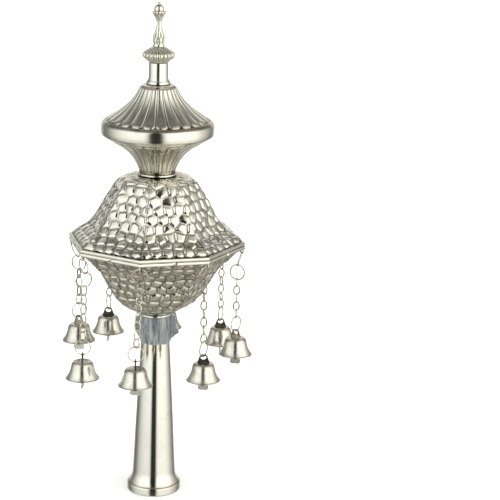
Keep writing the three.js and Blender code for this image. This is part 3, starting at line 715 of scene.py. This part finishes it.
def bell(number, x, y, lip, crown, strap_turn):
    height = crown - lip
    outer = smooth([(12.8, 0.0), (12.75, 0.45), (12.1, 1.0), (10.6, 3.2), (9.4, 6.0), (8.75, 8.6), (8.3, 10.8),
                    (7.5, 12.3), (6.2, height - 0.15), (3.5, height)], 4)
    inner = smooth([(2.5, height - 0.8), (5.9, height - 0.9), (7.2, 11.2), (7.9, 8.6), (8.6, 6.0), (9.8, 3.2),
                    (11.4, 1.0), (12.2, 0.0)], 3)
    profile = np.vstack([outer, inner])
    columns = 64
    angles = np.arange(columns) * 2 * math.pi / columns
    normal = outward(profile)
    dents = sum(
        amplitude * np.outer(np.sin(profile[:, 1] * rate + rng.uniform(0, 6)), np.sin(turns * angles + rng.uniform(0, 6)))
        for amplitude, rate, turns in ((0.025, 0.9, 3), (0.018, 1.6, 5), (0.01, 2.4, 8))
    )
    radius = profile[:, 0:1] + dents * np.minimum(1, profile[:, 1:2] / 2)
    xs = x + radius * np.cos(angles)
    ys = y + radius * np.sin(angles)
    zs = lip + profile[:, 1:2] + 0 * xs
    vertices = np.stack([xs, ys, zs], axis=-1).reshape(-1, 3)
    faces = grid_faces(len(profile), columns, close_rows=False)
    first, last = len(vertices), len(vertices) + 1
    ring = (len(outer)) * columns
    shell_faces = [f for f in faces]
    cut = [f for f in shell_faces if min(f) // columns == len(outer) - 1]
    shell_faces = [f for f in shell_faces if f not in cut]
    vertices = np.vstack([vertices, [x, y, crown], [x, y, crown - 0.8]])
    top = (len(outer) - 1) * columns
    bottom = (len(profile) - 1) * columns
    for c in range(columns):
        d = (c + 1) % columns
        shell_faces.append([top + c, top + d, first])
        shell_faces.append([ring + d, ring + c, last])
        shell_faces.append([bottom + c, bottom + d, d, c])
    outline = [(5, -0.3), (4.2, 1.5), (3.25, 4.2), (2.9, 5.3), (2.1, 6.25), (0.9, 6.6), (-0.9, 6.6), (-2.1, 6.25),
               (-2.9, 5.3), (-3.25, 4.2), (-4.2, 1.5), (-5, -0.3)]
    strap = plate_with_hole(outline, np.array([0, STRAP_HOLE - 0.15]), (2.1, 1.6), 1.1, strap_turn, x, y, crown)
    all_vertices, all_faces = joined([(vertices, shell_faces), strap])
    z = all_vertices[:, 2] - lip
    wear_and_shade = 0.35 * smoothstep(9.5, 12.5, z) + 0.3 * smoothstep(1.2, 0.2, z) + 0.6 * (z > height + 0.4)
    piece(f"bell_{number}_shell", all_vertices, all_faces, BELL, f"bell_{number}", {"tarnish_and_shade": wear_and_shade}, sharp=40)


def clapper(number, low, high, middle, lip, crown, turn):
    """A flat tongue, slightly bent."""
    tip, top = low[2], high[2]
    heights = np.linspace(tip, top, 24)
    widths = np.interp(heights, [tip, tip + 0.3, tip + 1.6, top], [2.9, 3.5, 4.15, 0.6])
    bend = 0.12 * np.sin((heights - tip) * 0.5)
    thick = 0.3
    loops = []
    for z, w, b in zip(heights, widths, bend):
        loops += [(-w, b - thick, z), (-w * 0.5, b - thick, z), (w * 0.5, b - thick, z), (w, b - thick, z),
                  (w, b + thick, z), (w * 0.5, b + thick, z), (-w * 0.5, b + thick, z), (-w, b + thick, z)]
    local = np.array(loops)
    faces = grid_faces(len(heights), 8, close_rows=False)
    faces.append(list(range(8))[::-1])
    faces.append([len(local) - 8 + k for k in range(8)])
    c, s = math.cos(math.radians(turn)), math.sin(math.radians(turn))
    vertices = np.column_stack([middle[0] + local[:, 0] * c - local[:, 1] * s, middle[1] + local[:, 0] * s + local[:, 1] * c, local[:, 2]])
    piece(f"clapper_{number}_tongue", vertices, faces, BELL, f"clapper_{number}",
          {"tarnish_and_shade": np.full(len(vertices), 0.1)}, sharp=40)


# ---------------------------------------------------------------- film wrap
def film_wrap():
    low, high = cad_box("film_wrap")
    bottom, top = low[2], high[2]
    columns = 288
    angles = np.arange(columns) * 2 * math.pi / columns
    outer = resample(smooth([(11.75, bottom), (12.0, bottom + 2), (12.05, bottom + 8), (11.7, bottom + 14), (11.15, top)], 5), 0.8)
    wrinkles = np.zeros((len(outer), columns))
    for waves in (7, 11, 16, 23, 31, 42, 57):
        sway = 0.5 * np.sin(outer[:, 1] * rng.uniform(0.15, 0.5) + rng.uniform(0, 6))
        wrinkles += rng.uniform(0.5, 1.0) / math.sqrt(waves) * np.abs(np.sin(0.5 * waves * angles[None, :] + sway[:, None] + rng.uniform(0, 6)))
    wrinkles = 0.5 * (wrinkles / wrinkles.max() - 0.6)
    radius = outer[:, 0:1] + wrinkles
    inner = outer[::-1].copy()
    inner[:, 0] -= 0.35
    inner_radius = inner[:, 0:1] + wrinkles[::-1]
    floor = np.interp(inner[:, 1], [120, 141.9], [11.2, 10.4])[:, None]
    all_radius = np.vstack([radius, np.maximum(inner_radius, floor)])
    heights = np.concatenate([outer[:, 1], inner[:, 1]])[:, None] + 0 * all_radius
    band = np.stack([all_radius * np.cos(angles), all_radius * np.sin(angles), heights], axis=-1).reshape(-1, 3)
    solids = [(band, grid_faces(len(all_radius), columns, close_rows=True))]
    for direction, edge in (
        (10, [(122.4, 11.9), (123.6, 13.4), (125.6, 15.4), (127.4, 18.3), (128.2, 18.2), (130.4, 16.4), (133, 16.1), (136.5, 16.2),
              (139.4, 15.9), (141.2, 14.2), (141.5, 11.4)]),
        (190, [(122.6, 11.9), (124.6, 13.2), (127, 14.6), (129.4, 15.2), (132.5, 15.9), (136, 15.8), (139, 15.8), (141.2, 13.6),
               (141.4, 11.4)]),
    ):
        for layer in (-0.55, 0.1, 0.7):
            solids.append(crumpled_ear(direction, np.array(edge), layer))
    vertices, faces = joined(solids)
    piece("film_wrap_sheet", vertices, faces, FILM, "film_wrap", {}, sharp=25)


def crumpled_ear(direction, edge, layer):
    """One ply of gathered film that stands out from the sleeve in the plane of a direction."""
    rows, columns = 30, 16
    z = np.linspace(edge[0, 0], edge[-1, 0], rows)
    far = np.interp(z, edge[:, 0], edge[:, 1])
    near = np.interp(z, [121, 141.6], [11.5, 10.8])
    share = np.linspace(0, 1, columns)
    shrink = rng.uniform(0.9, 1.0)
    out = near[:, None] + (far - near)[:, None] * share * shrink
    phase = rng.uniform(0, 6, 6)
    fold = (0.5 * np.abs(np.sin(z[:, None] * 0.8 + out * 0.7 + phase[0])) + 0.4 * np.abs(np.sin(z[:, None] * 1.7 - out * 1.3 + phase[1]))
            + 0.22 * np.sin(out * 2.6 + phase[2]) - 0.45)
    aside = layer * (0.4 + 0.6 * share) + fold * np.minimum(1, share * 3)
    aside = np.clip(aside, -1.35, 1.35)
    sheets = []
    for lift in (-0.06, 0.06):
        sheets.append(np.stack([out, aside + lift, z[:, None] + 0.25 * np.sin(out * 2 + phase[3])], axis=-1))
    local = np.concatenate([sheets[0].reshape(-1, 3), sheets[1].reshape(-1, 3)])
    faces = []
    count = rows * columns
    for r in range(rows - 1):
        for c in range(columns - 1):
            a = r * columns + c
            faces.append([a, a + 1, a + columns + 1, a + columns])
            faces.append([count + a, count + a + columns, count + a + columns + 1, count + a + 1])
    border = ([c for c in range(columns)] + [r * columns + columns - 1 for r in range(1, rows)]
              + [(rows - 1) * columns + c for c in range(columns - 2, -1, -1)] + [r * columns for r in range(rows - 2, 0, -1)])
    for a, b in zip(border, border[1:] + border[:1]):
        faces.append([b, a, count + a, count + b])
    t = math.radians(direction)
    x = local[:, 0] * math.cos(t) - local[:, 1] * math.sin(t)
    y = local[:, 0] * math.sin(t) + local[:, 1] * math.cos(t)
    return np.column_stack([x, y, local[:, 2]]), faces


# ---------------------------------------------------------------- camera, light and floor
def camera():
    yaw, pitch, roll, turn = (math.radians(v) for v in (3.320, 15.19, 1.549, VIEW_AZIMUTH))
    distance, height, focal = 1227.1, 527.7, 1672.8
    heading = turn - yaw
    forward = Vector((-math.sin(heading) * math.cos(pitch), math.cos(heading) * math.cos(pitch), -math.sin(pitch)))
    right = forward.cross(Vector((0, 0, 1))).normalized()
    up = right.cross(forward)
    side = right * math.cos(roll) + up * math.sin(roll)
    above = -right * math.sin(roll) + up * math.cos(roll)
    data = bpy.data.cameras.new("camera")
    data.sensor_width = 36
    data.lens = focal / 500 * 36
    data.clip_end = 50
    made = bpy.data.objects.new("camera", data)
    frame_axes = Matrix((side, above, -forward)).transposed().to_4x4()
    place = Vector((distance * math.sin(turn), -distance * math.cos(turn), height)) * MM
    made.matrix_world = Matrix.Translation(place) @ frame_axes
    bpy.context.scene.collection.objects.link(made)
    bpy.context.scene.camera = made


def ramp(nodes, links, value, stops):
    """A colour ramp over 0..1. Each stop is (position, (r, g, b))."""
    node = nodes.new("ShaderNodeValToRGB")
    elements = node.color_ramp.elements
    while len(elements) > 1:
        elements.remove(elements[-1])
    elements[0].position, elements[0].color = stops[0][0], (*stops[0][1], 1)
    for position, colour in stops[1:]:
        elements.new(position).color = (*colour, 1)
    links.new(value, node.inputs["Fac"])
    return node.outputs["Color"]


def studio_world():
    """Two tall soft boxes left and right of the camera with a narrow gap between them, and a dim ceiling."""
    world = bpy.data.worlds.new("studio")
    bpy.context.scene.world = world
    world.use_nodes = True
    nodes, links = world.node_tree.nodes, world.node_tree.links
    background = nodes["Background"]

    def math_node(operation, first, second=None):
        node = nodes.new("ShaderNodeMath")
        node.operation = operation
        for socket, value in zip(node.inputs, (first, second)):
            if value is None:
                continue
            if isinstance(value, (int, float)):
                socket.default_value = value
            else:
                links.new(value, socket)
        return node.outputs[0]

    turn = nodes.new("ShaderNodeVectorRotate")
    turn.rotation_type = "Z_AXIS"
    turn.inputs["Angle"].default_value = -math.radians(VIEW_AZIMUTH)
    links.new(nodes.new("ShaderNodeTexCoord").outputs["Generated"], turn.inputs["Vector"])
    axes = nodes.new("ShaderNodeSeparateXYZ")
    links.new(turn.outputs["Vector"], axes.inputs["Vector"])
    azimuth = math_node("ARCTAN2", axes.outputs["X"], math_node("MULTIPLY", axes.outputs["Y"], -1.0))
    azimuth = math_node("MULTIPLY_ADD", azimuth, 0.5 / math.pi)
    azimuth.node.inputs[2].default_value = 0.5
    elevation = math_node("MULTIPLY_ADD", math_node("ARCSINE", axes.outputs["Z"]), 1 / math.pi)
    elevation.node.inputs[2].default_value = 0.5

    def around(degrees):
        return degrees / 360 + 0.5

    def above(degrees):
        return degrees / 180 + 0.5

    cool, warm = np.array([0.98, 1.0, 0.96]), np.array([1.0, 0.985, 0.92])
    lamps = [(-180, 0.75, warm), (-158, 0.7, cool), (-138, 0.16, cool), (-120, 0.22, cool), (-102, 0.55, cool),
             (-84, 0.9, cool), (-60, 1.1, cool), (-28, 1.15, cool), (-20, 0.7, cool), (-14, 0.0, cool), (7, 0.0, warm),
             (14, 0.8, warm), (22, 1.3, warm), (62, 1.35, warm), (84, 1.15, warm), (100, 0.8, warm), (120, 0.42, warm),
             (140, 0.16, warm), (158, 0.7, warm), (180, 0.75, warm)]
    sides = ramp(nodes, links, azimuth, [(around(d), tuple(level / 1.35 * tint)) for d, level, tint in lamps])
    heights = [(-60, 0.2), (-42, 0.6), (-26, 0.72), (-18, 0.75), (-10, 1.0), (0, 1.05), (35, 1.1), (50, 0.85),
               (62, 0.4), (76, 0.1), (90, 0.03)]
    tall = ramp(nodes, links, elevation, [(above(d), (level,) * 3) for d, level in heights])
    rest = ramp(nodes, links, elevation, [
        (above(-90), (0.24, 0.22, 0.17)), (above(-50), (0.2, 0.185, 0.15)), (above(-28), (0.04, 0.04, 0.035)),
        (above(40), (0.01, 0.01, 0.01)), (above(68), (0.1, 0.1, 0.09)), (above(90), (0.15, 0.145, 0.13))])
    product = nodes.new("ShaderNodeMix")
    product.data_type, product.blend_type = "RGBA", "MULTIPLY"
    product.inputs[0].default_value = 1.0
    links.new(sides, product.inputs[6])
    links.new(tall, product.inputs[7])
    scaled = nodes.new("ShaderNodeMix")
    scaled.data_type, scaled.blend_type = "RGBA", "MULTIPLY"
    scaled.inputs[0].default_value = 1.0
    scaled.inputs[7].default_value = (1.52, 1.52, 1.5, 1)
    links.new(product.outputs[2], scaled.inputs[6])
    total = nodes.new("ShaderNodeMix")
    total.data_type, total.blend_type = "RGBA", "ADD"
    total.inputs[0].default_value = 1.0
    links.new(scaled.outputs[2], total.inputs[6])
    links.new(rest, total.inputs[7])
    links.new(total.outputs[2], background.inputs["Color"])


def floor_and_lamp():
    """A pale floor, lit evenly from above by a soft lamp that the metal doesn't mirror."""
    material, nodes, links, shader = new_material("pale_floor")
    where = nodes.new("ShaderNodeTexCoord").outputs["Object"]
    speck = noise(nodes, links, where, 6.0, 2.0)
    links.new(mixed(nodes, links, speck, (0.93, 0.93, 0.925), (0.95, 0.95, 0.945)), shader.inputs["Base Color"])
    shader.inputs["Roughness"].default_value = 0.9
    shader.inputs["Specular IOR Level"].default_value = 0.0
    mesh = bpy.data.meshes.new("floor")
    half = 14.0
    mesh.from_pydata([(-half, -half, 0), (half, -half, 0), (half, half, 0), (-half, half, 0)], [], [(0, 1, 2, 3)])
    mesh.materials.append(material)
    ground = bpy.data.objects.new("floor", mesh)
    ground.location.z = -0.0002
    ground.visible_glossy = False
    bpy.context.scene.collection.objects.link(ground)
    data = bpy.data.lights.new("overhead", "SUN")
    data.energy = 3.1
    data.angle = math.radians(70)
    lamp = bpy.data.objects.new("overhead", data)
    lamp.visible_glossy = False
    bpy.context.scene.collection.objects.link(lamp)


camera()
studio_world()
floor_and_lamp()
bpy.context.scene.view_settings.view_transform = "Standard"

sleeve()
bead_ring("bowl_ring_bead", "bowl_ring", 9.6, 12.8, 142.2, 144.4)
bead_ring("dome_ring_bead", "dome_ring", 8.0, 15.1, 252.3, 254.0)
canopy_roof()
canopy_flare()
neck()
knop()
spire()
dome()
bowl()
rim_band()
film_wrap()
for corner in range(SIDES):
    hanging_set(corner)
